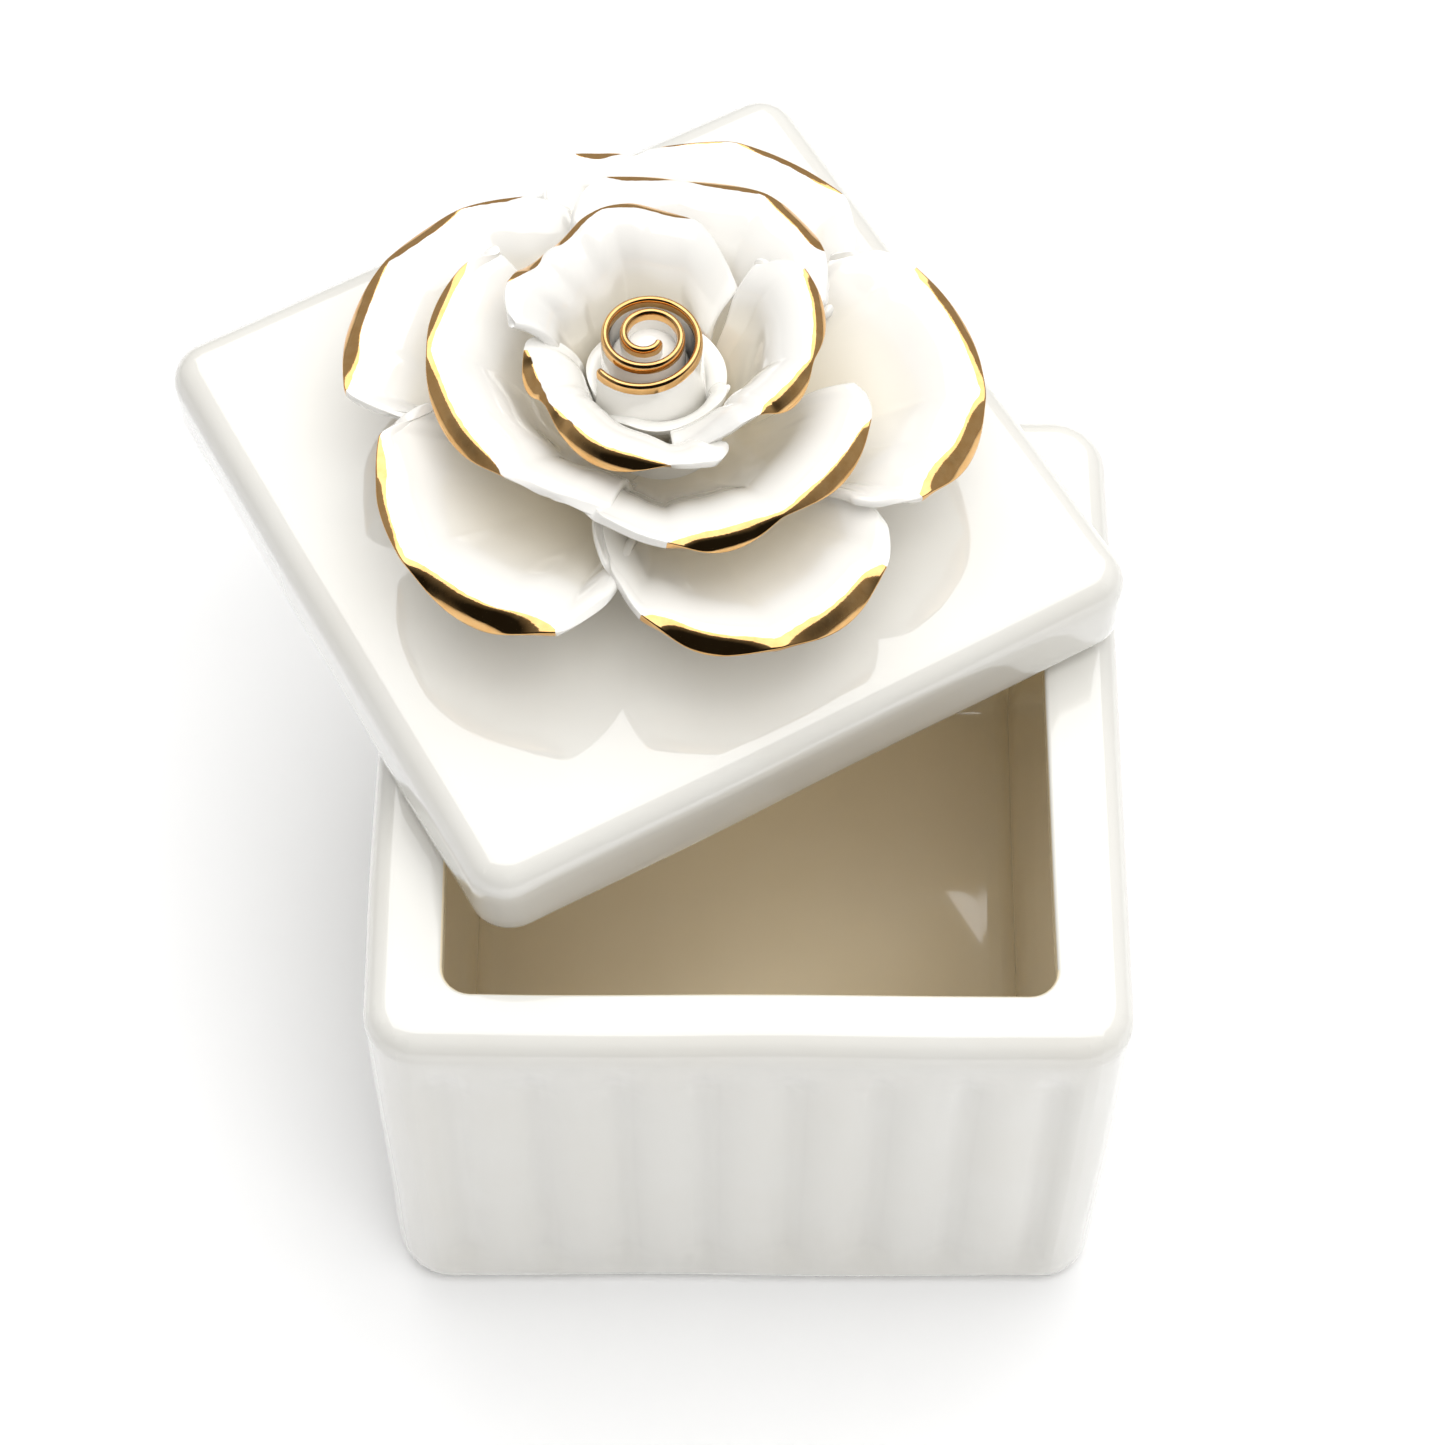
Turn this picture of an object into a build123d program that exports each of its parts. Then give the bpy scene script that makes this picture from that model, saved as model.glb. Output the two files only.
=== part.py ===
"""Porcelain trinket box: a square fluted box, and a lift-off lid that carries a hand-built rose.

Millimetres, +Z up. The origin is the middle of the flat base that the box stands on.
The lid rests askew on the rim, turned and pushed back, so the box stands half open.
"""
import os
from math import atan2, cos, radians, sin, tan

from build123d import *

# ---- the box ----
box_width = 80.0  # along X
box_depth = 80.0  # along Y
box_height = 61.0
side_wall = 8.2  # the walls that face X
end_wall = 7.0  # the walls that face Y
floor_thickness = 10.0
box_corner = 6.0  # radius of the upright corners, seen from above
rim_round = 3.0  # outer edge of the rim
rim_inner_round = 0.6
foot_round = 3.0
cavity_corner = 4.0
cavity_floor_round = 2.5

# ---- the shallow flutes pressed into the four walls ----
flute_pitch = 9.1
flute_radius = 7.0
flute_depth = 0.35
flute_foot = 5.0  # where the flutes start, above the base
flute_head = 6.0  # where they end, below the rim

# ---- the lid ----
lid_inset = 0.85  # how far the lid stays inside the box's outline, on each side
lid_thickness = 10.6
lid_corner = 4.5
lid_top_round = 3.2
lid_under_round = 1.4
step_height = 1.5  # the raised step under the lid that drops inside the walls
step_clearance = 0.7  # between that step and the walls, when the box is closed
step_corner = 4.0
seat_gap = 0.1  # between the step and the rim it rests on
lid_shift_x = -11.7
lid_shift_y = 24.5
lid_turn = 29.7  # degrees, anticlockwise from above

# ---- the rose ----
rose_shift_x = 2.0  # the rose stands a little off the lid's middle, along the lid's own axes
rose_shift_y = -1.1
petal_thickness = 1.2
petal_gap = 1.2  # degrees, between petals of one ring
seat_foot_radius = 10.0  # the clay cone that the petals are stuck to
seat_top_radius = 4.6
seat_height = 10.0
bud_foot_radius = 3.6
bud_radius = 5.5
bud_height = 13.5  # of the rolled strip, from the top of the cone
bud_crest = 1.0  # how far the rolled edge stands above the bud's middle
roll_thickness = 0.9
roll_gap = 0.55  # between the turns of the roll

# Each ring of petals: where its profile starts inside the cone, the slope there,
# the radius of the rolled lip and how far the lip turns down past level.
outer_ring = {"start": (6.6, 2.3), "slope": 0, "lip": 2.6, "droop": 40}
middle_ring = {"start": (5.0, 4.6), "slope": 18, "lip": 2.2, "droop": 30}
inner_ring = {"start": (3.9, 7.0), "slope": 34, "lip": 1.9, "droop": 25}
wrap_ring = {"start": (3.4, 8.6), "slope": 50, "lip": 0.8, "droop": 0}

# Each petal: its ring, the middle of it and its spread in degrees about the lid's own axes,
# how far out it reaches, and how high its rim stands above the lid.
petals = {
    "outer_petal_1": (outer_ring, 124, 70, 34.3, 13.5),
    "outer_petal_2": (outer_ring, 195, 70, 34.3, 14.5),
    "outer_petal_3": (outer_ring, 264, 66, 33.9, 12.5),
    "outer_petal_4": (outer_ring, 333, 70, 34.6, 14.0),
    "outer_petal_5": (outer_ring, 48, 78, 35.7, 11.5),
    "middle_petal_1": (middle_ring, 172, 101, 24.4, 20.0),
    "middle_petal_2": (middle_ring, 276, 104, 23.4, 18.0),
    "middle_petal_3": (middle_ring, 54, 128, 24.6, 19.5),
    "inner_petal_1": (inner_ring, 72, 134, 16.2, 25.0),
    "inner_petal_2": (inner_ring, 309, 98, 17.0, 23.0),
    "inner_petal_3": (inner_ring, 200, 118, 15.6, 21.5),
    "wrap_petal_1": (wrap_ring, 140, 116, 8.8, 20.0),
    "wrap_petal_2": (wrap_ring, 20, 116, 8.4, 19.5),
    "wrap_petal_3": (wrap_ring, 260, 116, 8.8, 16.5),
}
# A petal's outline: how much of its full reach it has at each share of its half-spread.
outline_shape = (
    (-0.98, 0.62),
    (-0.9, 0.84),
    (-0.5, 0.99),
    (0, 0.96),
    (0.45, 1.0),
    (0.88, 0.87),
    (0.98, 0.64),
)

# ---- worked out from the above ----
cavity_width = box_width - 2 * side_wall
cavity_depth = box_depth - 2 * end_wall
lid_width = box_width - 2 * lid_inset
lid_depth = box_depth - 2 * lid_inset
rest_height = box_height + seat_gap
turn = radians(lid_turn)
lid_plane = Plane(
    origin=(lid_shift_x, lid_shift_y, rest_height), x_dir=(cos(turn), sin(turn), 0), z_dir=(0, 0, 1)
)
flower_plane = Plane(
    origin=(
        lid_shift_x + rose_shift_x * cos(turn) - rose_shift_y * sin(turn),
        lid_shift_y + rose_shift_x * sin(turn) + rose_shift_y * cos(turn),
        rest_height + step_height + lid_thickness,
    ),
    x_dir=lid_plane.x_dir,
    z_dir=(0, 0, 1),
)
flower_axis = Axis(flower_plane.origin, (0, 0, 1))
bud_plane = flower_plane.offset(seat_height)

os.makedirs("parts", exist_ok=True)


def save(piece, name):
    """Label a finished piece and write it as its own file."""
    piece.part.label = name
    export_step(piece.part, f"parts/{name}.step")


def flute_row(length):
    """How many flutes fit between the rounded corners of a wall of this length."""
    return int((length - 2 * box_corner) / flute_pitch) + 1


# The box: a rounded square block, hollowed from above, with flutes along each wall.
with BuildPart() as box_body:
    with BuildSketch():
        RectangleRounded(box_width, box_depth, box_corner)
    extrude(amount=box_height)
    fillet(box_body.edges().group_by(Axis.Z)[-1], rim_round)
    fillet(box_body.edges().group_by(Axis.Z)[0], foot_round)
    with BuildSketch(Plane.XY.offset(flute_foot)):
        flute_offset = flute_radius - flute_depth
        with GridLocations(box_width + 2 * flute_offset, flute_pitch, 2, flute_row(box_depth)):
            Circle(flute_radius)
        with GridLocations(flute_pitch, box_depth + 2 * flute_offset, flute_row(box_width), 2):
            Circle(flute_radius)
    extrude(amount=box_height - flute_foot - flute_head, mode=Mode.SUBTRACT)
    with BuildSketch(Plane.XY.offset(floor_thickness)):
        RectangleRounded(cavity_width, cavity_depth, cavity_corner)
    extrude(amount=box_height, mode=Mode.SUBTRACT)
    cavity_edges = box_body.edges(Select.LAST)
    fillet(cavity_edges.group_by(Axis.Z)[0], cavity_floor_round)
    rim_edges = box_body.faces().sort_by(Axis.Z)[-1].inner_wires()[0].edges()
    fillet(rim_edges, rim_inner_round)
save(box_body, "box_body")

# The lid: a thick rounded slab, with a solid step under it that finds the opening.
with BuildPart() as lid:
    with BuildSketch(lid_plane.offset(step_height)):
        RectangleRounded(lid_width, lid_depth, lid_corner)
    extrude(amount=lid_thickness)
    fillet(lid.edges().group_by(Axis.Z)[-1], lid_top_round)
    fillet(lid.edges().group_by(Axis.Z)[0], lid_under_round)
    with BuildSketch(lid_plane):
        RectangleRounded(cavity_width - 2 * step_clearance, cavity_depth - 2 * step_clearance, step_corner)
    extrude(amount=step_height)
save(lid, "lid")

def cross_plane(azimuth, origin=flower_plane.origin):
    """An upright plane through the rose's axis: x runs outwards at this azimuth, y runs up."""
    angle = radians(lid_turn + azimuth)
    outwards = (cos(angle), sin(angle), 0)
    sideways = (sin(angle), -cos(angle), 0)
    return Plane(origin, x_dir=outwards, z_dir=sideways)


def outline_plane(azimuth):
    """The plane of the lid's top, with x running outwards at this azimuth."""
    angle = radians(lid_turn + azimuth)
    return Plane(flower_plane.origin, x_dir=(cos(angle), sin(angle), 0), z_dir=(0, 0, 1))


# The cone of clay in the heart of the rose, stuck to the middle of the lid.
with BuildPart() as rose_seat:
    with BuildSketch(cross_plane(0)):
        with BuildLine():
            Line((0, 0), (seat_foot_radius, 0))
            Line((seat_foot_radius, 0), (seat_top_radius, seat_height))
            Line((seat_top_radius, seat_height), (0, seat_height))
            Line((0, seat_height), (0, 0))
        make_face()
    revolve(axis=flower_axis)
save(rose_seat, "rose_seat")


def smooth_turn(centre, radius, from_angle, to_angle):
    """A curve round a centre, as one Bezier, that leaves at one angle and arrives at the other.

    A positive radius bends it to the left (a bowl), and a negative one to the right (a rolled lip).
    """
    first = (centre[0] + radius * sin(from_angle), centre[1] - radius * cos(from_angle))
    last = (centre[0] + radius * sin(to_angle), centre[1] - radius * cos(to_angle))
    pull = 4 / 3 * tan((to_angle - from_angle) / 4) * radius
    second = (first[0] + pull * cos(from_angle), first[1] + pull * sin(from_angle))
    third = (last[0] - pull * cos(to_angle), last[1] - pull * sin(to_angle))
    return Bezier(first, second, third, last)


def make_petal(ring, azimuth, spread, reach, rim_height):
    """A thin curled bowl, turned about the rose's axis and trimmed to the petal's outline.

    Its profile is one bend from the cone out to the lip, and a second bend where the lip rolls over.
    """
    start_r, start_h = ring["start"]
    slope, droop, lip = radians(ring["slope"]), radians(ring["droop"]), ring["lip"]
    # how steep the bowl ends and how wide the lip is depend on each other, so they settle together
    steepest = radians(60)
    for _ in range(12):
        bowl_r = reach - lip * (sin(steepest) + sin(droop)) - start_r
        bowl_h = rim_height - lip * (1 - cos(steepest)) - start_h
        steepest = 2 * atan2(bowl_h, bowl_r) - slope
    bowl = bowl_r / (sin(steepest) - sin(slope))
    bowl_centre = (start_r - bowl * sin(slope), start_h + bowl * cos(slope))
    lip_reach = (bowl + lip) * sin(steepest)
    lip_centre = (bowl_centre[0] + lip_reach, bowl_centre[1] - (bowl + lip) * cos(steepest))
    half = petal_thickness / 2
    with BuildPart() as petal:
        with BuildSketch(cross_plane(azimuth - spread / 2)):
            with BuildLine():
                under = smooth_turn(bowl_centre, bowl + half, slope, steepest)
                upper = smooth_turn(bowl_centre, bowl - half, slope, steepest)
                under_lip = smooth_turn(lip_centre, half - lip, steepest, -droop)
                upper_lip = smooth_turn(lip_centre, -lip - half, steepest, -droop)
                Line(under @ 0, upper @ 0)
                Line(under_lip @ 1, upper_lip @ 1)
            make_face()
        revolve(axis=flower_axis, revolution_arc=spread)
        with BuildSketch(outline_plane(azimuth)):
            with BuildLine():
                points = []
                for share, length in outline_shape:
                    angle = radians(share * (spread - petal_gap) / 2)
                    points.append((length * reach * cos(angle), length * reach * sin(angle)))
                rim = Spline(*points)
                Line(rim @ 1, (0, 0))
                Line((0, 0), rim @ 0)
            make_face()
        extrude(amount=seat_height + rim_height, mode=Mode.INTERSECT)
        add(rose_seat.part, mode=Mode.SUBTRACT)
    return petal


for petal_name, petal_sizes in petals.items():
    save(make_petal(*petal_sizes), petal_name)

# The bud: a strip rolled up on itself, whose upper edge is a spiral that stands proud of its middle.
with BuildPart() as bud_roll:
    with BuildSketch(cross_plane(0, bud_plane.origin)):
        with BuildLine():
            shoulder = (bud_radius, bud_height - bud_crest)
            waist = (bud_foot_radius + 1, bud_height / 4)
            Line((0, 0), (bud_foot_radius, 0))
            Bezier((bud_foot_radius, 0), waist, (bud_radius, bud_height / 2), shoulder)
            Line(shoulder, (0, bud_height - bud_crest))
            Line((0, bud_height - bud_crest), (0, 0))
        make_face()
    revolve(axis=flower_axis)
    with BuildSketch(bud_plane.offset(bud_height - bud_crest)):
        with BuildLine():
            # half turns, each a little tighter than the one before
            radius = bud_radius - roll_thickness / 2
            turn_end, heading = (radius, 0), (0, 1)
            while radius > roll_thickness + roll_gap:
                half_turn = JernArc(start=turn_end, tangent=heading, radius=radius, arc_size=180)
                turn_end, heading = half_turn @ 1, half_turn % 1
                radius -= (roll_thickness + roll_gap) / 2
            offset(amount=roll_thickness / 2, side=Side.BOTH, mode=Mode.REPLACE)
        make_face()
    extrude(amount=bud_crest)
save(bud_roll, "bud_roll")
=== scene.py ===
# %% [markdown]
# # A porcelain trinket box with a hand-built rose
#
# The box is white porcelain under a clear gloss glaze. Its lid is set down askew, and a rose made
# petal by petal stands on it, with gold lustre brushed along the rolled rims.
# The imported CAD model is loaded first. It fixes every size, and each piece made here stands for
# one of its nodes and moves with one of its two bodies, the box or the lid.

# %% Load the frame
from math import atan2, cos, pi, radians, sin

import bmesh
import bpy
from mathutils import Matrix, Vector, noise


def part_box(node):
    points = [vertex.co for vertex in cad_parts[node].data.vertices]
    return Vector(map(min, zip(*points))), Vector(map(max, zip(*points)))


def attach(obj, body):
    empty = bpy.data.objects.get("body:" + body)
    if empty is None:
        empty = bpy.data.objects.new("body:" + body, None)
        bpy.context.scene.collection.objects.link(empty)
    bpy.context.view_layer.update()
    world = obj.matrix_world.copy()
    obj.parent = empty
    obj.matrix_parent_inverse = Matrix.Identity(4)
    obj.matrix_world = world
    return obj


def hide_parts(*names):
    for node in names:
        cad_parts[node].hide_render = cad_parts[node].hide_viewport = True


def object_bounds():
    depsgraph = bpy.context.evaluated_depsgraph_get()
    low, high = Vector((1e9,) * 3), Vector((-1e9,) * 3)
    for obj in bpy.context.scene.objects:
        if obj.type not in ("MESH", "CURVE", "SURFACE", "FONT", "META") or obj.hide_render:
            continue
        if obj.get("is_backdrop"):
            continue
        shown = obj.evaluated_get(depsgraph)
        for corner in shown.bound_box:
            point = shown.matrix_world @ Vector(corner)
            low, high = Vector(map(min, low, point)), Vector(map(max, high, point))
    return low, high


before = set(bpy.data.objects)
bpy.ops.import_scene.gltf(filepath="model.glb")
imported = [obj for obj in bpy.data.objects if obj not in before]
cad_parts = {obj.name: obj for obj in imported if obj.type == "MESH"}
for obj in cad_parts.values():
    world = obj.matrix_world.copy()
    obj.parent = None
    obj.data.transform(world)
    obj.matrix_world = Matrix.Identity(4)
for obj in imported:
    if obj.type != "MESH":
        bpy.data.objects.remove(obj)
cad_box = [list(corner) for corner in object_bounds()]
MM = 0.001  # a millimetre in metres, which every Blender length is in

# %% [markdown]
# ## Where things are
#
# The box stands on the origin. The lid is turned about the upright axis, and the rose has its own
# place on the lid. A piece of the lid is made square to the lid's own axes, where the sums are
# easy, and its mesh is then turned into place, so that its object can stay at the origin.

# %% Places taken from the frame
box_low, box_high = (Vector(corner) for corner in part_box("box_body"))
lid_low, lid_high = (Vector(corner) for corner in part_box("lid"))
seat_low, seat_high = (Vector(corner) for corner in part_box("rose_seat"))
lid_turn = radians(29.7)
lid_middle, seat_middle = (lid_low + lid_high) / 2, (seat_low + seat_high) / 2
turned = Matrix.Rotation(lid_turn, 4, "Z")
to_lid = Matrix.Translation((lid_middle.x, lid_middle.y, 0)) @ turned
to_rose = Matrix.Translation((seat_middle.x, seat_middle.y, seat_low.z)) @ turned
bud_top = (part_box("bud_roll")[1][2] - seat_low.z) / MM
print("box:", [round(side / MM, 1) for side in box_high - box_low], "mm, bud top", round(bud_top, 1))

# %% [markdown]
# ## Small helpers
#
# A mesh is always finished in the same way: it becomes a smooth-shaded object that rides on its
# body, stands for its CAD node and names its material slot. One function adds a shader node with
# its settings and links. Another turns a hex colour, as a paint chart gives it, into the linear
# values that shaders want.


# %% Helpers: finish a piece
def soften(piece, levels):
    """A subdivision surface, the same in the viewport as in the render."""
    smooth = piece.modifiers.new("soften", "SUBSURF")
    smooth.levels = smooth.render_levels = levels


def finish_piece(name, shape, materials, body, node, levels=0):
    """Turn a bmesh into a piece of the model; levels adds that much subdivision."""
    mesh = bpy.data.meshes.new(name)
    shape.to_mesh(mesh)
    shape.free()
    for face in mesh.polygons:
        face.use_smooth = True
    for material in materials:
        mesh.materials.append(material)
    piece = bpy.data.objects.new(name, mesh)
    bpy.context.scene.collection.objects.link(piece)
    if levels:
        soften(piece, levels)
    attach(piece, body)
    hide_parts(node)
    return piece


print("nodes that a piece can stand for:", len(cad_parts))


# %% Helpers: colours and shader nodes
def linear(hex_colour):
    """An sRGB hex colour, such as "#F4F2EE", as linear RGBA."""
    channels = [int(hex_colour[start:start + 2], 16) / 255 for start in (1, 3, 5)]
    return [c / 12.92 if c <= 0.04045 else ((c + 0.055) / 1.055) ** 2.4 for c in channels] + [1.0]


def add_node(tree, kind, attributes=None, values=None, links=None):
    """Add a shader node, set its attributes and its input values, and feed its inputs by links."""
    node = tree.nodes.new(kind)
    for name, value in (attributes or {}).items():
        setattr(node, name, value)
    for socket, value in (values or {}).items():
        node.inputs[socket].default_value = value
    for socket, source in (links or {}).items():
        tree.links.new(source, node.inputs[socket])
    return node


# a Mix node has sockets for several kinds of value; these are the numbers of its colour ones
AS_COLOUR, FIRST, SECOND, MIXED = {"data_type": "RGBA"}, 6, 7, 2
print("mid grey is", round(linear("#808080")[0], 3), "in linear values")

# %% [markdown]
# ## The glaze
#
# Porcelain fires to a warm white and wears a clear glaze like a skin of glass: sharp reflections
# over a soft white body. A painted texture would fix the clouds at one place and size, so noise on
# Object coordinates makes them: a faint cloudy tint about 14 mm across, and a very low ripple
# about 9 mm across, which makes highlights waver as a dipped glaze does.
# Inside the box the glaze is given a cream tint, which paints in the warm shade of the deep cavity.


# %% Glazed porcelain
coat_roughness = 0.02  # a fired glaze is nearly as smooth as window glass
glaze_roughness, gold_roughness = 0.06, 0.09


def start_material(name):
    """An empty node material: the material, its tree, and the shader at its output."""
    material = bpy.data.materials.new(name)
    material.use_nodes = True
    tree = material.node_tree
    tree.nodes.clear()
    shader = add_node(tree, "ShaderNodeBsdfPrincipled", None, {"IOR": 1.5})
    add_node(tree, "ShaderNodeOutputMaterial", None, None, {"Surface": shader.outputs["BSDF"]})
    return material, tree, shader


def glazed_porcelain(name, body_hex, thick_hex):
    """Gloss glaze over porcelain: a glassy coat, a cloudy tint and a slow ripple."""
    material, tree, shader = start_material(name)
    place = {"Vector": add_node(tree, "ShaderNodeTexCoord").outputs["Object"]}
    cloudy, slow = ({"Scale": 1 / (size * MM), "Detail": detail} for size, detail in ((14, 2), (9, 1)))
    clouds = add_node(tree, "ShaderNodeTexNoise", None, cloudy, place)
    tints = {FIRST: linear(body_hex), SECOND: linear(thick_hex)}
    tint = add_node(tree, "ShaderNodeMix", AS_COLOUR, tints, {0: clouds.outputs["Fac"]})
    swell = add_node(tree, "ShaderNodeTexNoise", None, slow, place)
    low = {"Strength": 0.5, "Distance": 0.02 * MM}
    ripple = add_node(tree, "ShaderNodeBump", None, low, {"Height": swell.outputs["Fac"]})
    tree.links.new(tint.outputs[MIXED], shader.inputs["Base Color"])
    tree.links.new(ripple.outputs["Normal"], shader.inputs["Normal"])
    shader.inputs["Roughness"].default_value = glaze_roughness
    shader.inputs["Coat Weight"].default_value = 1.0
    shader.inputs["Coat Roughness"].default_value = coat_roughness
    return material


outer_glaze = glazed_porcelain("clear_glazed_porcelain", "#E6E5E0", "#E3E0D8")
# the cavity's cream colours are painted shade, the warm dimness inside the box
cavity_shade_glaze = glazed_porcelain("cream_painted_shade_glaze", "#F9ECD0", "#F5E6C5")
print("glazes:", outer_glaze.name, cavity_shade_glaze.name)

# %% [markdown]
# ## Gold lustre
#
# Liquid bright gold is brushed on over the fired glaze and fired again at a low heat. It leaves a
# film that mirrors like polished metal, with faint brush streaks, and it stops at a slightly
# wavering line. The gold could be a second material on chosen faces, but its edge would then
# follow the mesh in steps. So each petal's mesh carries an attribute, gilding, that says how many
# millimetres a point lies inside the gold, and one shader turns from glaze to metal about where
# that value passes zero; a little noise moves the line to and fro. A second attribute says how
# near a point is to a petal's foot, where a warmer tint paints in the shade of the crease.


# %% Porcelain with a gilded rim
def gilded_porcelain(name):
    """Glazed porcelain that turns to a gold film where the mesh attribute gilding is positive."""
    material, tree, shader = start_material(name)
    place = {"Vector": add_node(tree, "ShaderNodeTexCoord").outputs["Object"]}
    patterns = {}
    sizes = {"cloud": (14, 2), "ripple": (6, 1), "streak": (1.2, 3), "waver": (1.8, 2)}
    for pattern, (size, detail) in sizes.items():
        grain = {"Scale": 1 / (size * MM), "Detail": detail}
        patterns[pattern] = add_node(tree, "ShaderNodeTexNoise", None, grain, place).outputs["Fac"]
    foot_shade = add_node(tree, "ShaderNodeAttribute", {"attribute_name": "foot_shade"})
    gilding = add_node(tree, "ShaderNodeAttribute", {"attribute_name": "gilding"})
    whites = {FIRST: linear("#F3F2EE"), SECOND: linear("#F0EDE7")}
    white = add_node(tree, "ShaderNodeMix", AS_COLOUR, whites, {0: patterns["cloud"]})
    # the warm tint near a petal's foot is painted shade, for the creases between petals
    foot_shaded = {0: foot_shade.outputs["Fac"], FIRST: white.outputs[MIXED]}
    glaze = add_node(tree, "ShaderNodeMix", AS_COLOUR, {SECOND: linear("#F3EAD5")}, foot_shaded)
    golds = {FIRST: linear("#D59F5C"), SECOND: linear("#EBC389")}
    gold = add_node(tree, "ShaderNodeMix", AS_COLOUR, golds, {0: patterns["streak"]})
    # the brushed line wanders by about 0.3 mm, on blotches about 1.8 mm across
    waver = {0: patterns["waver"], 2: gilding.outputs["Fac"]}
    line = add_node(tree, "ShaderNodeMath", {"operation": "MULTIPLY_ADD"}, {1: 0.3}, waver)
    edge, past_line = {"From Min": 0.13, "From Max": 0.17}, {"Value": line.outputs["Value"]}
    film = add_node(tree, "ShaderNodeMapRange", None, edge, past_line).outputs["Result"]
    # glass coat outside the film only, and the film is a little less smooth than the glaze
    bare = {"To Min": 1.0, "To Max": 0.0}
    glassy = add_node(tree, "ShaderNodeMapRange", None, bare, {"Value": film})
    shine = {"To Min": glaze_roughness, "To Max": gold_roughness}
    rough = add_node(tree, "ShaderNodeMapRange", None, shine, {"Value": film})
    coats = {0: film, FIRST: glaze.outputs[MIXED], SECOND: gold.outputs[MIXED]}
    colour = add_node(tree, "ShaderNodeMix", AS_COLOUR, None, coats)
    low = {"Strength": 0.5, "Distance": 0.02 * MM}
    ripple = add_node(tree, "ShaderNodeBump", None, low, {"Height": patterns["ripple"]})
    brushed = {"Height": patterns["streak"], "Strength": film, "Normal": ripple.outputs["Normal"]}
    wrinkle = add_node(tree, "ShaderNodeBump", None, {"Distance": 0.02 * MM}, brushed)
    finish = {
        "Base Color": colour.outputs[MIXED],
        "Metallic": film,
        "Roughness": rough.outputs["Result"],
        "Coat Weight": glassy.outputs["Result"],
        "Normal": wrinkle.outputs["Normal"],
    }
    for socket, source in finish.items():
        tree.links.new(source, shader.inputs[socket])
    shader.inputs["Coat Roughness"].default_value = coat_roughness
    return material


petal_finish = gilded_porcelain("gold_lustre_on_porcelain")
print("petals:", petal_finish.name)

# %% [markdown]
# ## The box
#
# A pressed square box: upright walls with shallow flutes, a thick flat rim and soft edges.
# A cube is bevelled into a rounded block, and a second one, turned inside out, becomes the
# cavity. The two are joined across the rim. Bevels on a single boolean shape would work too, but
# the two blocks give even rows of points, which the flutes need later.

# %% Box sizes
box_size = box_high - box_low
half_width, half_depth = box_size.x / 2, box_size.y / 2
side_wall, end_wall, floor_thickness = 8.2 * MM, 7.0 * MM, 10.0 * MM
box_corner, rim_round, foot_round, rim_inner_round = 6.0 * MM, 3.0 * MM, 3.0 * MM, 0.5 * MM
cavity_corner, cavity_floor_round = 3.0 * MM, 2.8 * MM
cavity_width, cavity_depth = box_size.x - 2 * side_wall, box_size.y - 2 * end_wall
floor_top = box_low.z + floor_thickness
hair = 1e-6  # a micrometre: closer than this counts as the same place
print("cavity:", round(cavity_width / MM, 1), "x", round(cavity_depth / MM, 1), "mm")


def rounded_block(size, bottom, corner):
    """A cube stretched to size, standing at a height, with its upright edges rounded."""
    block = bmesh.new()
    bmesh.ops.create_cube(block, size=1.0)
    bmesh.ops.scale(block, vec=size, verts=block.verts)
    bmesh.ops.translate(block, vec=(0, 0, bottom + size[2] / 2), verts=block.verts)
    upright = [e for e in block.edges if abs(e.verts[0].co.z - e.verts[1].co.z) > hair]
    round_edges(block, upright, corner, segments=8)
    return block


def round_edges(block, edges, radius, segments):
    """Round some edges with an even number of steps."""
    bmesh.ops.bevel(
        block, geom=edges, offset=radius, segments=segments, profile=0.5, affect="EDGES", material=-1
    )


def ring_at(block, height):
    """The level edges that lie at a height."""
    return [e for e in block.edges if all(abs(v.co.z - height) < hair for v in e.verts)]


def open_at(block, height):
    """Take away the level face at a height, which leaves an open ring."""
    faces = [f for f in block.faces if all(abs(v.co.z - height) < hair for v in f.verts)]
    bmesh.ops.delete(block, geom=faces, context="FACES")


def join_into(target, other):
    """Move one bmesh's shape into another."""
    carrier = bpy.data.meshes.new("carrier")
    other.to_mesh(carrier)
    other.free()
    target.from_mesh(carrier)
    bpy.data.meshes.remove(carrier)


# %% Make the box and its cavity
walls = rounded_block(box_size, box_low.z, box_corner)
round_edges(walls, ring_at(walls, box_low.z), foot_round, segments=5)
round_edges(walls, ring_at(walls, box_high.z), rim_round, segments=6)
open_at(walls, box_high.z)
cavity_size = Vector((cavity_width, cavity_depth, box_high.z - floor_top))
cavity = rounded_block(cavity_size, floor_top, cavity_corner)
round_edges(cavity, ring_at(cavity, floor_top), cavity_floor_round, segments=6)
open_at(cavity, box_high.z)
bmesh.ops.reverse_faces(cavity, faces=cavity.faces)
for face in cavity.faces:
    face.material_index = 1
join_into(walls, cavity)
rim = bmesh.ops.bridge_loops(walls, edges=[e for e in walls.edges if e.is_boundary])
for face in rim["faces"]:
    face.material_index = 0
inner_rim = []
for edge in ring_at(walls, box_high.z):
    wide, deep = (max(abs(vert.co[axis]) for vert in edge.verts) for axis in (0, 1))
    if wide < cavity_width / 2 + hair and deep < cavity_depth / 2 + hair:
        inner_rim.append(edge)
round_edges(walls, inner_rim, rim_inner_round, segments=3)
bmesh.ops.recalc_face_normals(walls, faces=walls.faces)
print("box rim edges:", len(inner_rim), "faces:", len(walls.faces))

# %% [markdown]
# ## Flutes and the hand
#
# Shallow flutes run up each wall and fade out above the foot and below the rim. Cutting each one
# out would leave hard ends, so the walls are cut into fine strips, and a formula presses the
# points in. Last, every wall wanders by a fraction of a millimetre, as pressed clay does when it
# dries. The block is first made smaller by as much, so it never leaves its true size.

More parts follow.
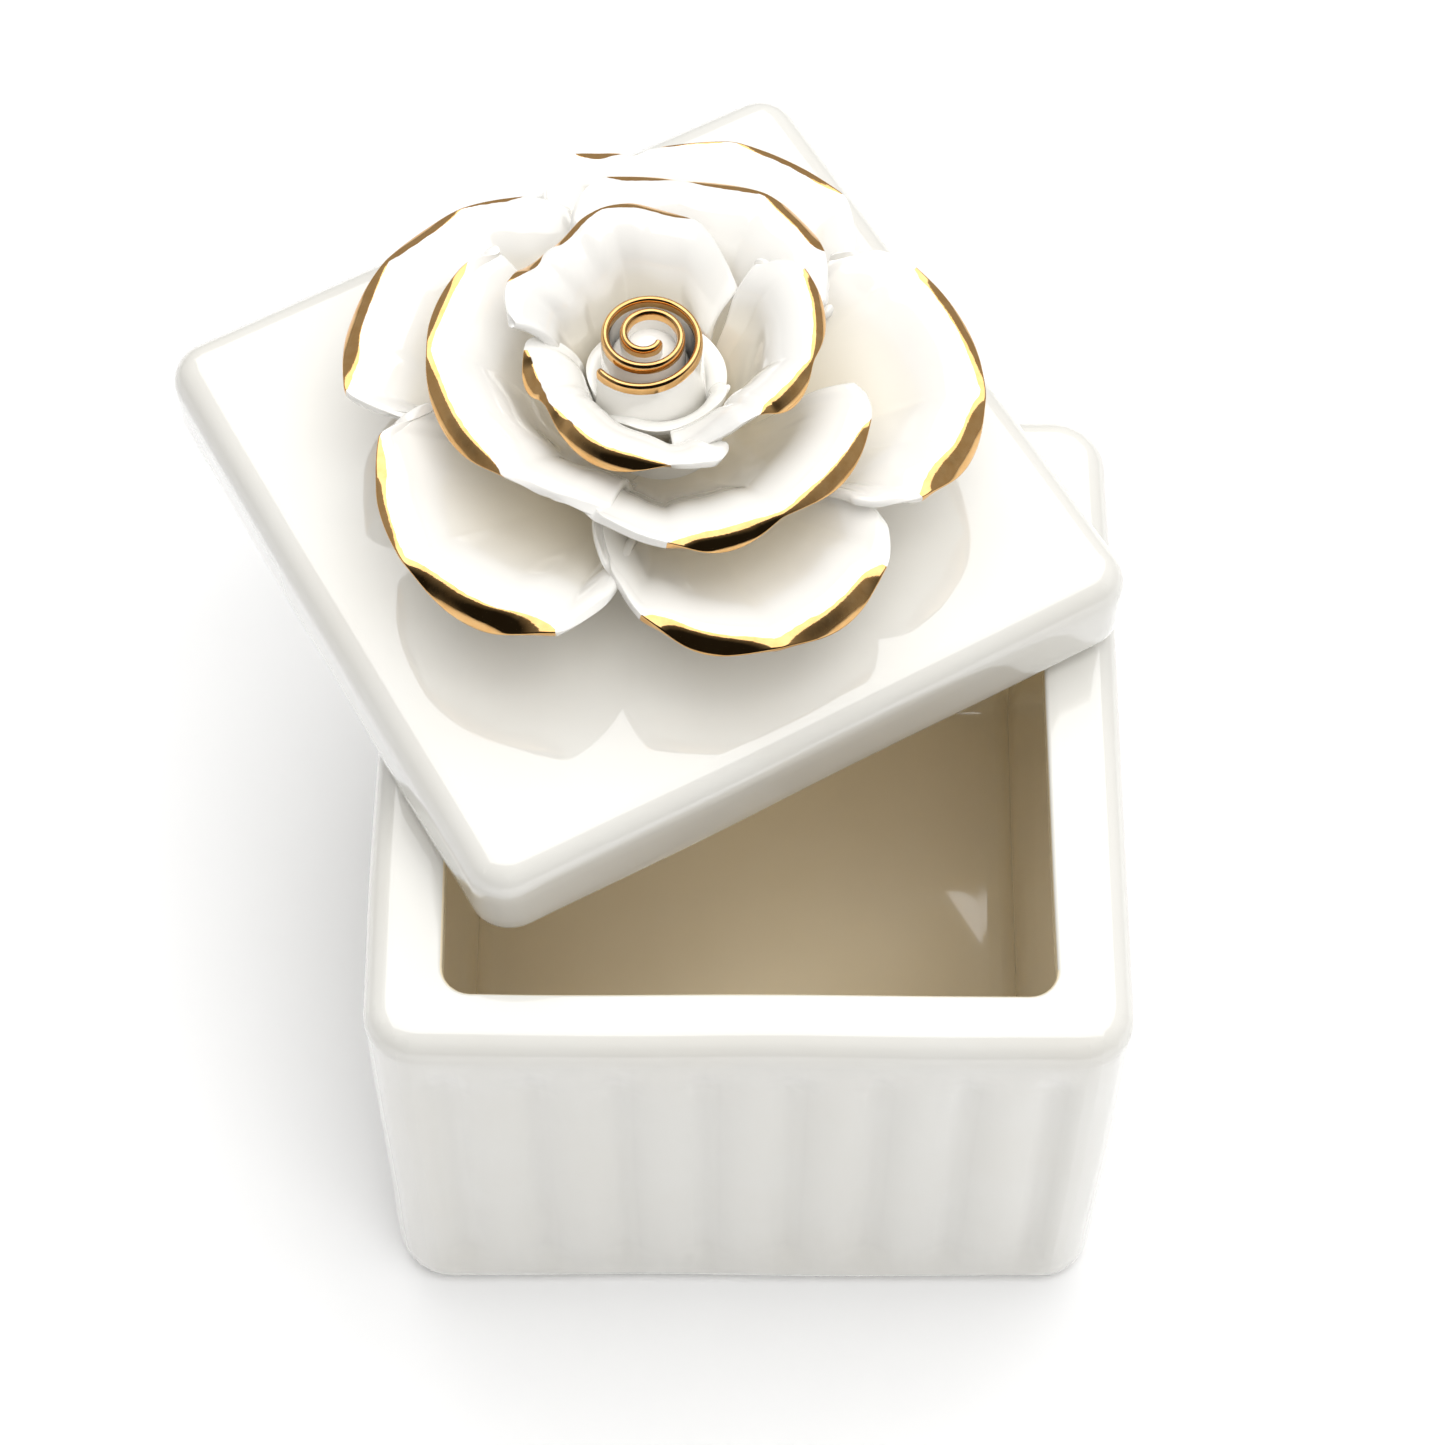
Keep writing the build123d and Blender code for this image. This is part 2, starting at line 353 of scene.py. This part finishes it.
# %% Flute sizes
flute_pitch, flute_depth, flutes_per_wall = 9.1 * MM, 1.1 * MM, 8
half_flute = 0.34  # of the pitch; the rest is the flat land between two flutes
flute_foot, flute_head, flute_fade = 2.5 * MM, 3.5 * MM, 7.0 * MM
strips_per_flute, wander, wander_size = 6, 0.25 * MM, 22 * MM
print("flutes:", flutes_per_wall, "on a wall,", round(flute_depth / MM, 1), "mm deep")


def cut_across(shape, place, direction):
    """Cut a whole mesh along a plane, and keep both sides."""
    everything = list(shape.verts) + list(shape.edges) + list(shape.faces)
    bmesh.ops.bisect_plane(shape, geom=everything, plane_co=place, plane_no=direction, dist=hair / 10)


def ease(value):
    """0 below 0, 1 above 1, and smooth between."""
    value = min(max(value, 0.0), 1.0)
    return value * value * (3 - 2 * value)


def flute_press(point):
    """How far a wall's point is pressed in, and in which direction."""
    up, down = point.z - box_low.z, box_high.z - point.z
    on_side = abs(point.x) > half_width - hair
    if not on_side and abs(point.y) < half_depth - hair:
        return Vector()
    along = (point.y if on_side else point.x) / flute_pitch
    if abs(along) > flutes_per_wall / 2:
        return Vector()
    valley = 1 - ease(abs(along % 1.0 - 0.5) / half_flute)
    fade = ease((up - flute_foot) / flute_fade) * ease((down - flute_head) / flute_fade)
    inwards = Vector((-point.x, 0, 0)) if on_side else Vector((0, -point.y, 0))
    return inwards.normalized() * flute_depth * valley * fade


# %% Press the flutes
strips = int(half_width / flute_pitch * strips_per_flute)
for strip in range(-strips, strips + 1):
    offset = strip * flute_pitch / strips_per_flute
    cut_across(walls, (offset, 0, 0), (1, 0, 0))
    cut_across(walls, (0, offset, 0), (0, 1, 0))
fades = [flute_foot + flute_fade * step / 4 for step in range(5)]
fades += [box_size.z - flute_head - flute_fade * step / 4 for step in range(5)]
for height in fades + [box_size.z * share for share in (0.3, 0.5, 0.7)]:
    cut_across(walls, (0, 0, box_low.z + height), (0, 0, 1))
for vert in walls.verts:
    vert.co += flute_press(vert.co)


def let_wander(shape, size):
    """Shrink a block by the wander on each side, then let its points wander by as much."""
    for vert in shape.verts:
        place = vert.co / wander_size
        drift_x, drift_y = noise.noise(place), noise.noise(place + Vector((0, 0, 40)))
        vert.co.x = vert.co.x * (1 - 2 * wander / size.x) + drift_x * wander
        vert.co.y = vert.co.y * (1 - 2 * wander / size.y) + drift_y * wander


let_wander(walls, box_size)
glazes = [outer_glaze, cavity_shade_glaze]
box_piece = finish_piece("fluted_box", walls, glazes, "box", "box_body")
print("box faces:", len(box_piece.data.polygons))

# %% [markdown]
# ## The lid
#
# A thick pressed slab with a softly rounded upper edge, a crisper lower edge, and a low step
# underneath that finds the opening. It is made from the same rounded block as the box, and the
# step is bridged to the slab's underside, as the cavity is to the rim, so the lid is one shell.

# %% Make the lid
step_height, step_clearance, lid_inset = 1.5 * MM, 0.7 * MM, 0.85 * MM
lid_top_round, lid_under_round, lid_corner = 3.2 * MM, 1.4 * MM, 4.5 * MM
step_corner, step_round = 2.6 * MM, 0.4 * MM
lid_strip, lid_strips = 4 * MM, 9
slab_bottom = lid_low.z + step_height
slab_width, slab_depth = box_size.x - 2 * lid_inset, box_size.y - 2 * lid_inset
slab_size = Vector((slab_width, slab_depth, lid_high.z - slab_bottom))
slab = rounded_block(slab_size, slab_bottom, lid_corner)
round_edges(slab, ring_at(slab, lid_high.z), lid_top_round, segments=6)
round_edges(slab, ring_at(slab, slab_bottom), lid_under_round, segments=4)
open_at(slab, slab_bottom)
step_width, step_depth = cavity_width - 2 * step_clearance, cavity_depth - 2 * step_clearance
step = rounded_block(Vector((step_width, step_depth, step_height)), lid_low.z, step_corner)
round_edges(step, ring_at(step, lid_low.z), step_round, segments=3)
open_at(step, slab_bottom)
join_into(slab, step)
bmesh.ops.bridge_loops(slab, edges=[e for e in slab.edges if e.is_boundary])
bmesh.ops.recalc_face_normals(slab, faces=slab.faces)
for strip in range(-lid_strips, lid_strips + 1):
    cut_across(slab, (strip * lid_strip, 0, 0), (1, 0, 0))
    cut_across(slab, (0, strip * lid_strip, 0), (0, 1, 0))
for share in (0.25, 0.4, 0.55):
    cut_across(slab, (0, 0, slab_bottom + slab_size.z * share), (0, 0, 1))
let_wander(slab, slab_size)
bmesh.ops.transform(slab, matrix=to_lid, verts=slab.verts)
lid_piece = finish_piece("lid_slab", slab, [outer_glaze], "lid", "lid")
print("lid faces:", len(lid_piece.data.polygons))

# %% [markdown]
# ## A petal
#
# A real petal is a disc of clay pressed thin between finger and thumb, cupped, and rolled back
# along its rim. Here a flat grid is shaped in the same way: one direction runs across the petal,
# the other from its foot to its rim. Each column follows a bowl, a wide flare, and a tight lip
# that rolls over. The rim is pinched into corners, and between two corners the lip rolls further;
# that is where the gold shows widest. Solidify then gives the clay its thickness. Sculpting by
# hand could do it too, but a formula lets the fourteen petals share one recipe.

# %% Petal sizes
# these lengths are in millimetres, and a petal's mesh is scaled to metres as it is made
petal_thickness = 1.15
columns, bowl_rows, flare_rows, lip_rows = 60, 8, 10, 12
rows = bowl_rows + flare_rows + lip_rows
lip_slope, least_droop, full_droop = 14, 10, 102  # degrees: before the lip, and at its end
flare_share = 0.7  # the most of a petal's length that its flare takes up
pinch = 0.8  # how far the rim may stand out from the body of the petal
bulge, plain_roll = 0.5, 0.3  # a rim swells between two corners, even where it isn't gilded
kept_roll = 0.3  # the share of its neighbours' roll that a corner keeps
side_share = 0.12  # the share of a petal's width over which its side corner hangs
unevenness, lump_scale = 0.25, 0.13
gold_start = 0.3  # past the lip's top
thin_gold = 0.3  # the gold that every gilded rim has, however little it rolls
bare = -1.0  # the gilding where there is no gold
# where the painted crease shade at a petal's foot fades out
foot_shade_start, foot_shade_fade = 0.05, 0.33  # shares of a petal's length, from its foot
# each ring: where a petal starts inside the cone (radius, height), its slope there, the radius of
# the wide flare below the rim, the radius of the rolled lip, and how far a petal's two side
# corners hang below its rim
rings = {
    "outer": {"foot": (6.6, 2.3), "slope": 14, "flare": 17.0, "lip": 1.6, "drop": 0.4},
    "middle": {"foot": (5.0, 4.6), "slope": 28, "flare": 10.0, "lip": 1.5, "drop": 0.8},
    "inner": {"foot": (3.9, 7.0), "slope": 44, "flare": 5.5, "lip": 1.3, "drop": 1.2},
    "wrap": {"foot": (3.4, 8.6), "slope": 50, "flare": 1.6, "lip": 0.6, "drop": 0.3},
}
# each petal: its ring, its rim's height, how much higher its last edge stands than its first, and
# its corners as (azimuth, reach, roll): roll is how far the lip turns over between this corner and
# the next, from 0 to 1, with the gold as wide as the roll, or None where no gold is laid
petals = {
    "outer_petal_1": ("outer", 13.5, 0.4, [
        (83, 26, None), (90, 29.8, 0.15), (103, 32.4, 0.5), (121, 34.3, 0.7), (152, 33.4, None),
        (157, 28.5, None), (159, 23, None)]),
    "outer_petal_2": ("outer", 13.7, -3.0, [
        (157, 24, None), (163, 30.2, 0.35), (190, 34.3, 1.0), (222, 31.8, None), (228, 27, None),
        (231, 21, None)]),
    "outer_petal_3": ("outer", 12.6, -1.6, [
        (218, 17, None), (224, 20.6, None), (231, 24.8, None), (237, 28.5, 0.75), (262, 33.9, 0.85),
        (289, 31.8, None), (296, 28.8, None), (300, 24, None)]),
    "outer_petal_4": ("outer", 14.0, 0.8, [
        (296, 24, None), (303, 30.8, 1.0), (329, 34.4, 0.5), (361, 31.5, None), (368, 29.5, None),
        (374, 25, None)]),
    "outer_petal_5": ("outer", 11.5, 0.4, [
        (4, 21, None), (12, 28, None), (24, 34, 0.3), (48, 35.7, 0.1), (67, 33, 0.3),
        (78, 34.7, None), (84, 32.5, None), (88, 28, None)]),
    "middle_petal_1": ("middle", 19.8, -3.6, [
        (113, 21.6, None), (122, 23.4, 0.5), (151, 24.4, 0.9), (194, 22, None), (207, 20, None),
        (222, 20.2, None), (226, 19, None)]),
    "middle_petal_2": ("middle", 18.2, -2.0, [
        (218, 19.4, None), (224, 20.8, None), (243, 23.1, 0.9), (274, 23.0, 0.7), (314, 23.2, None),
        (322, 21.9, None), (326, 20, None)]),
    "middle_petal_3": ("middle", 19.5, 0.4, [
        (-6, 18.6, None), (8, 22.2, 0.8), (33, 24.1, 0.4), (55, 22.9, 0.3), (76, 24.6, None),
        (84, 22.7, None), (90, 19, None)]),
    "inner_petal_1": ("inner", 25.0, 0.4, [
        (17, 11.8, None), (33, 13.6, None), (46, 15, 0.5), (82, 16.4, 0.4), (112, 14.8, 0.5),
        (134, 16.8, None), (143, 16.3, None), (149, 15.2, None)]),
    "inner_petal_2": ("inner", 23.0, 0.8, [
        (248, 12, None), (265, 13.4, None), (286, 14.6, 1.0), (318, 16.4, 0.7), (361, 17.6, None),
        (368, 16.2, None), (376, 14.4, None)]),
    "inner_petal_3": ("inner", 21.5, -0.6, [
        (142, 12.9, None), (147, 13.8, None), (153, 14.3, 0.75), (184, 13.9, 1.0), (246, 15.6, None),
        (262, 16.2, None), (268, 15.2, None), (271, 13.4, None)]),
    "wrap_petal_1": ("wrap", 20.3, 0.6, [
        (82, 6.9, None), (110, 7.7, None), (170, 8, None), (205, 7.2, None)]),
    "wrap_petal_2": ("wrap", 20.0, 0.6, [
        (-45, 6.8, None), (-10, 7.4, 0.05), (50, 7.6, None), (78, 6.9, None)]),
    "wrap_petal_3": ("wrap", 17.3, 0.6, [
        (196, 7.6, None), (222, 8.4, None), (295, 8.4, None), (322, 7.4, None)]),
}
print("petals:", len(petals), "in", len(rings), "rings")


# %% The rim between its corners
def rim_at(corners, azimuth):
    """(reach, roll, gilded) of a rim at an azimuth."""
    rolls = [roll or 0 for _, _, roll in corners]
    side = 0
    while azimuth > corners[side + 1][0] and side < len(corners) - 2:
        side += 1
    (left, left_reach, roll), (right, right_reach, _) = corners[side:side + 2]
    share = min(max((azimuth - left) / (right - left), 0.0), 1.0)
    swell = sin(pi * share)
    reach = left_reach + (right_reach - left_reach) * share
    reach += bulge * swell * (roll or plain_roll)
    # a corner between two rolled stretches keeps a little of the roll
    before, after = (kept_roll * min(rolls[end - 1], rolls[end]) for end in (side, side + 1))
    kept = before + (after - before) * share
    return reach, kept + swell * (rolls[side] - kept), roll is not None


def soft_reach_at(corners, azimuth):
    """The reach with its corners evened out, at most a pinch away from the rim's own."""
    around = [rim_at(corners, azimuth + turn)[0] for turn in (-14, -7, 0, 7, 14)]
    reach = rim_at(corners, azimuth)[0]
    return min(max(sum(around) / len(around), reach - pinch), reach + pinch)


middle_reach = rim_at(petals["outer_petal_1"][3], 121)[0]
print("the first petal reaches", round(middle_reach, 1), "mm at its middle")


# %% One column of a petal, from foot to rim
def petal_column(ring, reach, height, roll):
    """Points as (radius, height, how far past the lip's top), negative before the top."""
    foot_r, foot_h = ring["foot"]
    slope, lip = radians(ring["slope"]), ring["lip"]
    lip_start = radians(lip_slope)
    droop = radians(least_droop + (full_droop - least_droop) * roll)
    span = reach - lip * (sin(lip_start) + sin(min(droop, pi / 2))) - foot_r
    rise = height - lip * (1 - cos(lip_start)) - foot_h
    flare = min(ring["flare"], flare_share * span)
    # how steep the bowl ends and how wide it is depend on each other, so they settle together
    steepest = radians(50)
    for _ in range(30):
        bowl_r = span - flare * (sin(steepest) - sin(lip_start))
        bowl_h = rise - flare * (cos(lip_start) - cos(steepest))
        wanted = min(max(2 * atan2(bowl_h, bowl_r) - slope, radians(20)), radians(84))
        steepest = (steepest + wanted) / 2
    bowl = bowl_r / (sin(steepest) - sin(slope))
    points = [(foot_r, foot_h, bare)]
    for radius, start, end, count in (
        (-bowl, slope, steepest, bowl_rows),
        (flare, steepest, lip_start, flare_rows),
        (lip, lip_start, -droop, lip_rows),
    ):
        from_r, from_h, _ = points[-1]
        for row in range(1, count + 1):
            angle = start + (end - start) * row / count
            out = from_r + radius * (sin(start) - sin(angle))
            up = from_h + radius * (cos(angle) - cos(start))
            points.append((out, up, -angle * abs(radius)))
    return points


print("points in a column:", len(petal_column(rings["outer"], 33, 13, 0.5)))


# %% Make the petals
def make_petal(name, ring_name, height, tilt, corners):
    """One petal: a grid bent column by column, given its thickness, and softened."""
    sheet = bmesh.new()
    bmesh.ops.create_grid(sheet, x_segments=columns, y_segments=rows, size=0.5)
    gilding = sheet.verts.layers.float.new("gilding")
    foot_shade = sheet.verts.layers.float.new("foot_shade")
    ring, first, last = rings[ring_name], corners[0][0], corners[-1][0]
    for vert in sheet.verts:
        across, out = vert.co.x + 0.5, vert.co.y + 0.5
        azimuth = first + (last - first) * across
        reach, roll, gilded = rim_at(corners, azimuth)
        soft_reach = soft_reach_at(corners, azimuth)
        middle = petal_thickness / 2
        hang = ring["drop"] * (1 - ease(min(across, 1 - across) / side_share))
        column = petal_column(ring, soft_reach - middle, height - middle - hang, roll)
        radius, up, past_top = column[round(out * rows)]
        radius += (reach - soft_reach) * out ** 4
        angle = radians(azimuth)
        spot = Vector((radius * cos(angle), radius * sin(angle), up + tilt * (across - 0.5) * out))
        # pressed clay is never quite even, so it dips and lifts a little
        lift = noise.noise(spot * lump_scale + Vector((height, 0, 0))) * 2 * unevenness * out
        spot.z += min(lift, unevenness)
        vert.co = spot * MM
        # painted crease shade: full at the petal's foot, fading out further along
        vert[foot_shade] = 1 - ease((out - foot_shade_start) / foot_shade_fade)
        vert[gilding] = past_top - gold_start if gilded else bare
        if gilded and round(out * rows) == rows:
            vert[gilding] = max(vert[gilding], thin_gold)
    bmesh.ops.transform(sheet, matrix=to_rose, verts=sheet.verts)
    petal = finish_piece(f"{name}_sheet", sheet, [petal_finish], "lid", name)
    clay = petal.modifiers.new("clay", "SOLIDIFY")
    clay.thickness, clay.offset = petal_thickness * MM, 0.0
    soften(petal, 1)


for petal_name, petal_shape in petals.items():
    make_petal(petal_name, *petal_shape)
print("petals made:", len(petals))

# %% [markdown]
# ## The bud
#
# The heart of the rose is a strip of clay rolled up on itself around a plug of clay. The strip is
# a long grid wound into a spiral, clockwise as it goes out, and its outer end runs down the side.
# A curve with a bevel would make the gold edge alone; the grid makes the whole strip, so the
# white shows between the turns, and the gold is only its upper edge, as it is when brushed on.

# %% Make the bud
# in millimetres, as for the petals
bud_turns, strip_thickness, strip_foot, plug_drop = 2.3, 0.85, 10.5, 1.5
bud_offset = Vector((-1.0, 0.6, 0))
strip_columns, strip_rows = 140, 12
first_turn, bud_gold, plug_foot, plug_top = radians(-70), 1.2, 5.2, 4.3


def make_bud():
    """The rolled strip, given its thickness, and the plug that it is rolled around."""
    bud = bmesh.new()
    bmesh.ops.create_grid(bud, x_segments=strip_columns, y_segments=strip_rows, size=0.5)
    gilding = bud.verts.layers.float.new("gilding")
    for vert in bud.verts:
        along, up = vert.co.x + 0.5, vert.co.y + 0.5
        angle = first_turn - 2 * pi * bud_turns * along
        # the strip's outer half slopes down, and its last eighth runs down steeply
        top = bud_top - 0.5 - 2.2 * max(along - 0.55, 0) - 5.5 * max(along - 0.88, 0)
        height = strip_foot + (top - strip_foot) * up
        radius = (1.0 + 4.5 * along ** 0.85) * (1.0 + 0.14 * (1 - up) ** 1.5 * along)
        vert.co = (bud_offset + Vector((radius * cos(angle), radius * sin(angle), height))) * MM
        vert[gilding] = bud_gold - (top - height)
    bmesh.ops.recalc_face_normals(bud, faces=bud.faces)
    bmesh.ops.solidify(bud, geom=bud.faces, thickness=strip_thickness * MM)
    plug_height = bud_top - plug_drop - strip_foot
    plug = bmesh.ops.create_cone(
        bud, cap_ends=True, segments=48, radius1=plug_foot * MM, radius2=plug_top * MM,
        depth=plug_height * MM
    )
    middle = bud_offset + Vector((0, 0, strip_foot + plug_height / 2))
    bmesh.ops.translate(bud, vec=middle * MM, verts=plug["verts"])
    for vert in plug["verts"]:
        vert[gilding] = bare
    bmesh.ops.transform(bud, matrix=to_rose, verts=bud.verts)
    finish = [petal_finish]
    return finish_piece("rolled_bud", bud, finish, "lid", "bud_roll", levels=1)


bud_piece = make_bud()
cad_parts["rose_seat"].material_slots[0].material = outer_glaze
print("bud faces:", len(bud_piece.data.polygons))

# %% [markdown]
# ## Studio
#
# One very large soft light hangs above and a little behind the box, and its mirror image fills
# the lid. A second light in front lifts the shadows; it is hidden from reflections, so the gold
# still has something dark to mirror.


# %% Lights
def soft_light(name, place, aim, width, depth, power):
    """A rectangular softbox that faces a point; lengths in metres, power in watts."""
    light = bpy.data.lights.new(name, "AREA")
    light.shape, light.size, light.size_y, light.energy = "RECTANGLE", width, depth, power
    holder = bpy.data.objects.new(name, light)
    bpy.context.scene.collection.objects.link(holder)
    holder.location = place
    holder.rotation_euler = (Vector(aim) - Vector(place)).to_track_quat("-Z", "Y").to_euler()
    return holder


soft_light("overhead_softbox", (0.06, 0.34, 0.8), (0.03, 0.1, 0), 1.0, 0.95, 5.5)
fill = soft_light("front_fill", (0.15, -0.4, 0.86), (0, 0, 0.05), 0.8, 0.8, 6.2)
fill.visible_glossy = False

# %% [markdown]
# ## The table
#
# A sheet of matt white paper, with no shine of its own, so that it stays plain under the box. Its
# fibres are drawn 0.6 mm across, coarser than real ones, because finer ones would not show.

# %% Table
paper, tree, sheet = start_material("matt_white_paper")
place = {"Vector": add_node(tree, "ShaderNodeTexCoord").outputs["Object"]}
patchy, fibrous = ({"Scale": 1 / (size * MM), "Detail": 2} for size in (40, 0.6))
patches = add_node(tree, "ShaderNodeTexNoise", None, patchy, place)
whites = {FIRST: linear("#FEFEFE"), SECOND: linear("#FDFDFD")}
shade = add_node(tree, "ShaderNodeMix", AS_COLOUR, whites, {0: patches.outputs["Fac"]})
tree.links.new(shade.outputs[MIXED], sheet.inputs["Base Color"])
fibres = add_node(tree, "ShaderNodeTexNoise", None, fibrous, place)
pressed = {"Height": fibres.outputs["Fac"]}
grain = add_node(tree, "ShaderNodeBump", None, {"Distance": 0.01 * MM}, pressed)
tree.links.new(grain.outputs["Normal"], sheet.inputs["Normal"])
sheet.inputs["Roughness"].default_value = 0.9
sheet.inputs["Specular IOR Level"].default_value = 0.0
table = bmesh.new()
bmesh.ops.create_grid(table, x_segments=1, y_segments=1, size=3.0)
table_mesh = bpy.data.meshes.new("table")
table.to_mesh(table_mesh)
table.free()
table_mesh.materials.append(paper)
table_top = bpy.data.objects.new("table", table_mesh)
bpy.context.scene.collection.objects.link(table_top)
table_top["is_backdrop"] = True
print("table:", [round(side, 1) for side in table_top.dimensions], "m")

# %% [markdown]
# ## The light tent
#
# White cloth hangs around the table and glows faintly. Towards the camera it has its opening,
# which is darker, and that is what the gold's rolled rims mirror. An image of a studio could light
# the scene too, but a dot product with one direction gives the same soft opening.

# %% Light tent
tent = bpy.data.worlds.new("light_tent")
bpy.context.scene.world = tent
tent.use_nodes = True
tree = tent.node_tree
tree.nodes.clear()
around = add_node(tree, "ShaderNodeTexCoord")
product, opening = {"operation": "DOT_PRODUCT"}, {1: (0, -0.92, 0.39)}
every_way = {0: around.outputs["Generated"]}
towards = add_node(tree, "ShaderNodeVectorMath", product, opening, every_way)
gap = {"From Min": 0.1, "From Max": 0.72, "To Min": 0.42, "To Max": 0.015}
cloth = add_node(tree, "ShaderNodeMapRange", None, gap, {"Value": towards.outputs["Value"]})
warm_white = {"Color": (1.0, 0.99, 0.975, 1.0)}
strength = {"Strength": cloth.outputs["Result"]}
glow = add_node(tree, "ShaderNodeBackground", None, warm_white, strength)
add_node(tree, "ShaderNodeOutputWorld", None, None, {"Surface": glow.outputs["Background"]})
bpy.context.scene.view_settings.view_transform = "Standard"
print("tent:", tent.name)

# %% [markdown]
# ## Camera
#
# A long lens looks steeply down on the box, almost square to its front wall.

# %% Camera
camera_data = bpy.data.cameras.new("camera")
camera_data.sensor_width, camera_data.lens = 36, 92.55
camera = bpy.data.objects.new("camera", camera_data)
bpy.context.scene.collection.objects.link(camera)
look_down, look_aside, distance = radians(59.5), radians(-0.24), 396.8 * MM
aim = Vector((-2.84, 0, 59.8)) * MM
level = cos(look_down)
sight = Vector((sin(look_aside) * level, cos(look_aside) * level, -sin(look_down)))
camera.location = aim - sight * distance
camera.rotation_euler = sight.to_track_quat("-Z", "Y").to_euler()
bpy.context.scene.camera = camera
print("camera at", [round(side, 3) for side in camera.location])

# %% [markdown]
# ## Size
#
# The CAD model's box and the visual model's box are both printed. The visual model has to
# stay inside the CAD model's box.

# %% Print the two boxes
sizes = {"cad": cad_box, "visual": [list(corner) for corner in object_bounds()]}
for box_name, corners in sizes.items():
    print(box_name, "box:", [round(side, 4) for corner in corners for side in corner])
